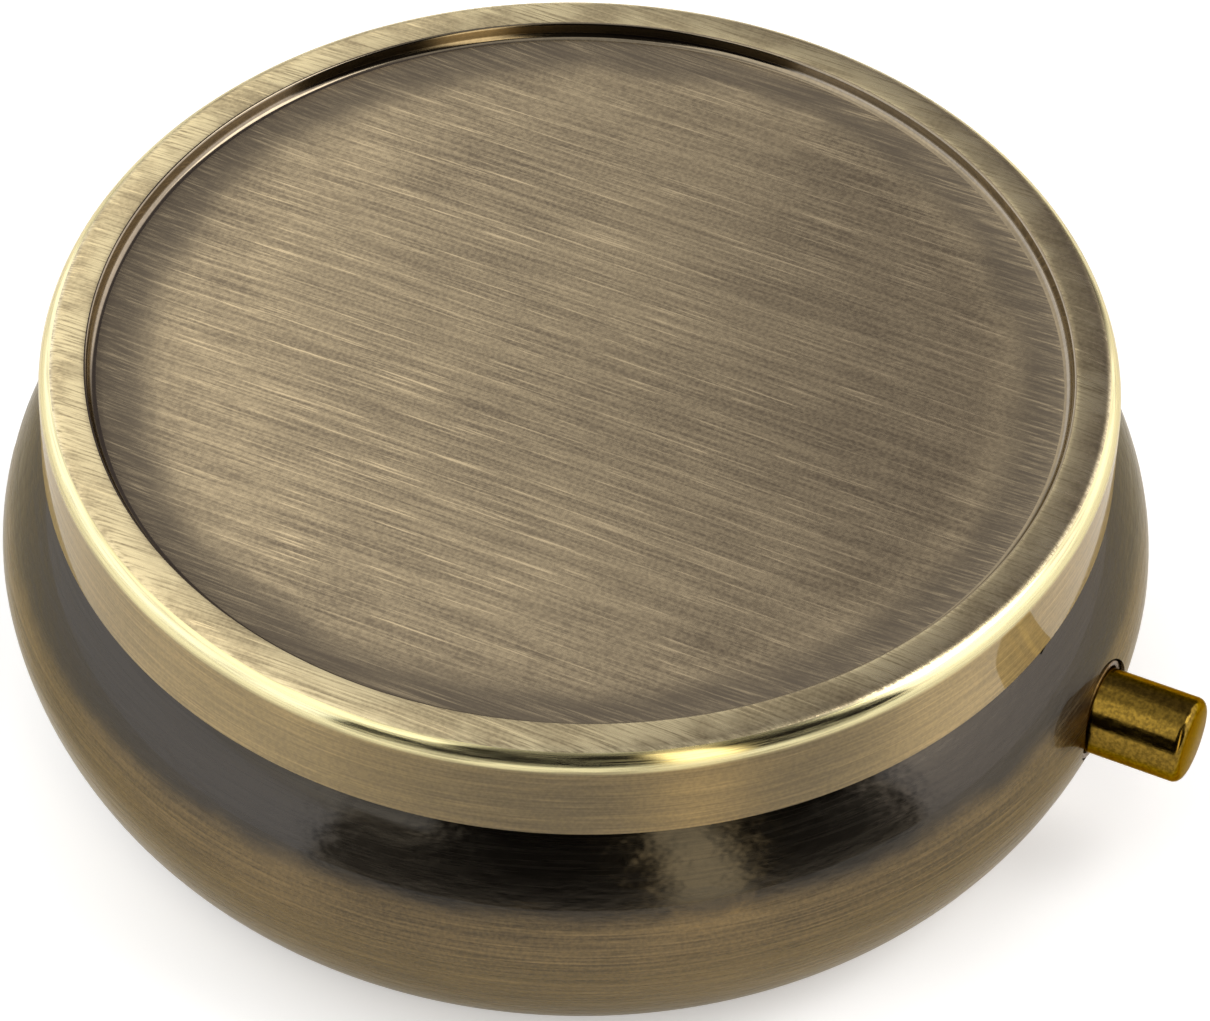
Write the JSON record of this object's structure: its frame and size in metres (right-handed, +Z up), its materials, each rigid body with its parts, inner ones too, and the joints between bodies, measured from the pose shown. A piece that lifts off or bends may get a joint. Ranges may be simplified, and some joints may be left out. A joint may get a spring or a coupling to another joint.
{
  "type": "travel pill organizer",
  "caption": "Round sheet-brass pill box with a recessed hinged lid, a push-pin catch, a mirror in the lid and a lift-out plastic tray divided into compartments.",
  "frame": {"origin": "middle of the flat bottom of the bowl, where it rests on a table", "axes": "+Z up through the lid, -Y towards the push pin, +Y towards the hinge, +X along the hinge pin"},
  "size_m": [0.05, 0.0537, 0.018],
  "materials": {
    "antique_brass": "brushed antique bronze plating over brass, clear lacquer",
    "inner_brass": "satin antique brass",
    "bright_brass": "polished turned brass",
    "steel": "nickel-plated pressed steel",
    "spring_steel": "bright drawn wire",
    "tray_plastic": "moulded milky polypropylene",
    "mirror_glass": "silvered glass"
  },
  "bodies": {
    "base": {"bowl": "antique_brass", "mouth_ring": "inner_brass", "pill_tray": "tray_plastic", "hinge_leaf": "steel", "hinge_pin": "steel", "hinge_spring": "spring_steel", "button_bush": "bright_brass", "button_spring": "spring_steel", "latch_bracket": "steel"},
    "button": {"push_button": "bright_brass", "latch_slide": "steel"},
    "lid": {"lid_shell": "antique_brass", "lid_frame": "inner_brass", "lid_mirror": "mirror_glass", "hinge_strap": "steel", "lid_catch": "steel", "strap_rivet_left": "steel", "strap_rivet_right": "steel", "catch_rivet_left": "steel", "catch_rivet_right": "steel"}
  },
  "joints": [
    {"name": "lid_hinge", "type": "hinge", "parent": "base", "child": "lid", "pos_m": [0, 0.0224, 0.0075], "axis": [-1, 0, 0], "range_deg": [0, 105], "deforming": ["hinge_spring"]},
    {"name": "button_press", "type": "slide", "parent": "base", "child": "button", "axis": [0, 1, 0], "range_m": [0, 0.001], "stiffness_N_per_m": 800, "springref_m": -0.0015, "deforming": ["button_spring"]}
  ]
}
